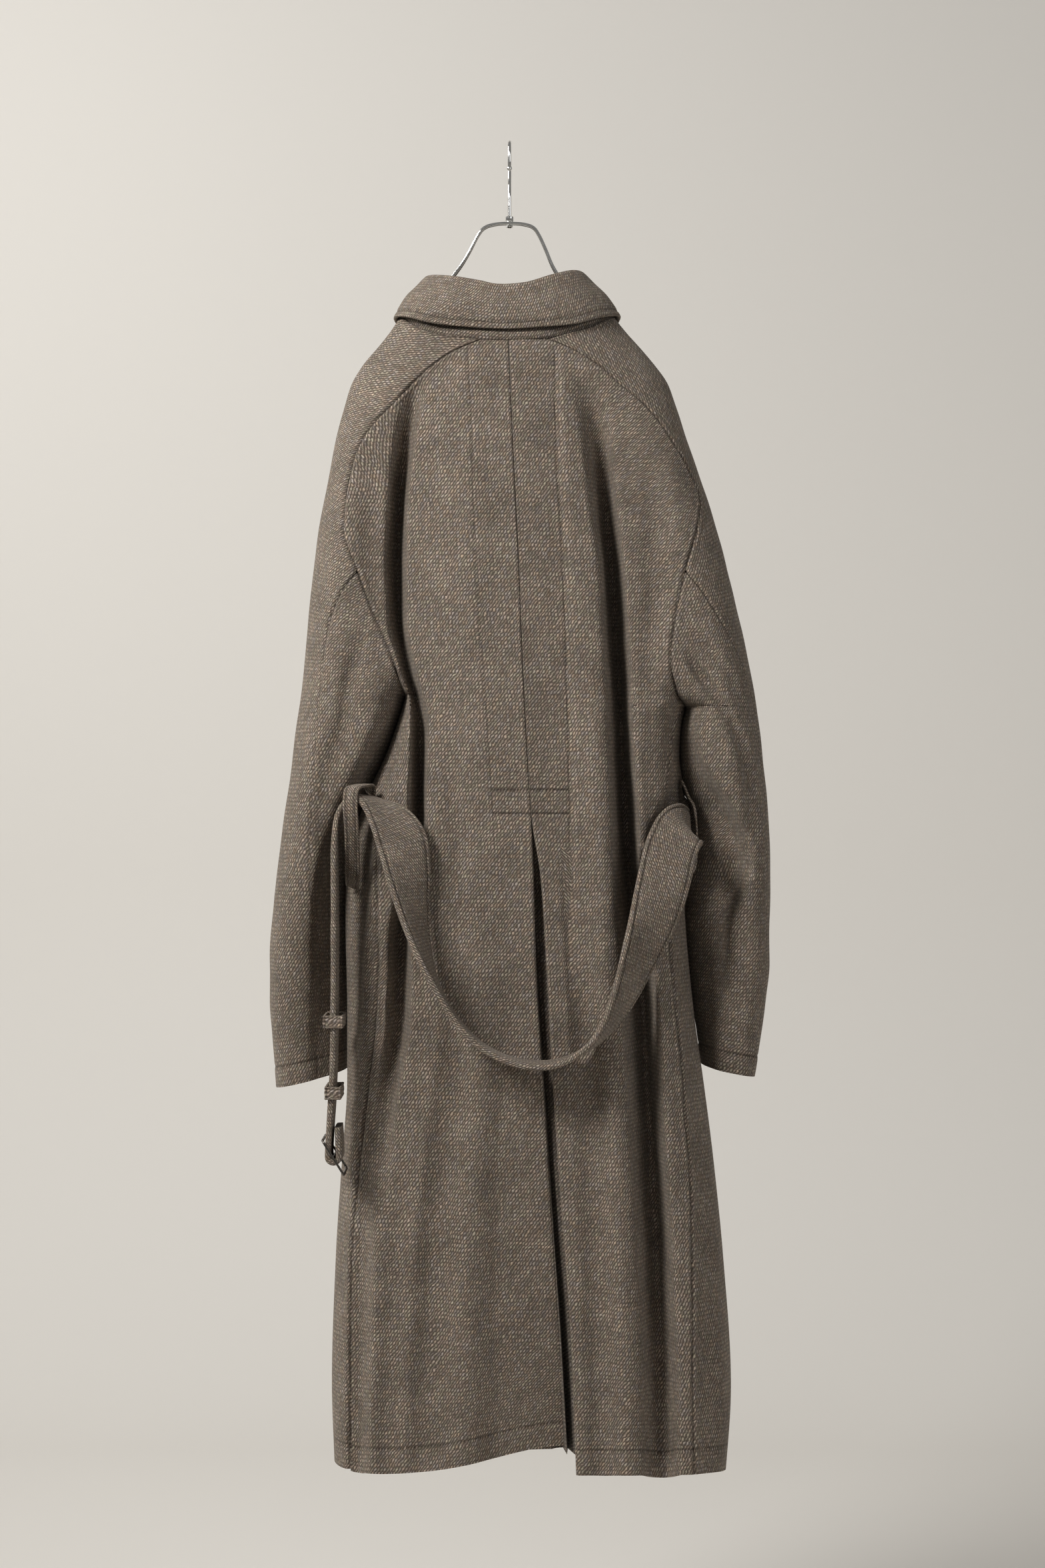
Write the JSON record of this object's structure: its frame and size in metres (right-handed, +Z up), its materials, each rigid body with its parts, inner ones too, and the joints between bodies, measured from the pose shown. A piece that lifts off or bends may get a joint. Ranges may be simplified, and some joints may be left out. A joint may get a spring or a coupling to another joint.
{
  "type": "balmacaan coat on a hanger",
  "caption": "Raglan wool coat with a turned-down collar, back pleat and loose belt, hanging back outwards from a wire hanger with a rail hook.",
  "frame": {"origin": "inside top of the hook, where it rests on a rail", "axes": "+Z up, -Y towards the coat's back, +X towards the wearer's right"},
  "size_m": [0.525, 0.2959, 1.3835],
  "materials": {
    "wool": "brown wool tweed with a flecked weave",
    "buckle": "darkened, satin",
    "hanger": "polished"
  },
  "bodies": {
    "coat_and_hanger": {"back_left": "wool", "back_right": "wool", "pleat_underlay": "wool", "front_left": "wool", "front_right": "wool", "sleeve_left": "wool", "undersleeve_left": "wool", "sleeve_right": "wool", "undersleeve_right": "wool", "collar_fall": "wool", "collar_stand": "wool", "belt_loop_left": "wool", "belt_loop_right": "wool", "belt": "wool", "belt_keeper_1": "wool", "belt_keeper_2": "wool", "hanger_wires": "hanger", "hanger_hook": "hanger", "hanger_nut": "hanger"},
    "buckle": {"buckle_frame": "buckle"}
  },
  "joints": [
    {"name": "buckle_swing", "type": "hinge", "parent": "coat_and_hanger", "child": "buckle", "pos_m": [-0.178, -0.103, -1.05], "axis": [0, 1, 0], "range_deg": [-30, 0]}
  ]
}
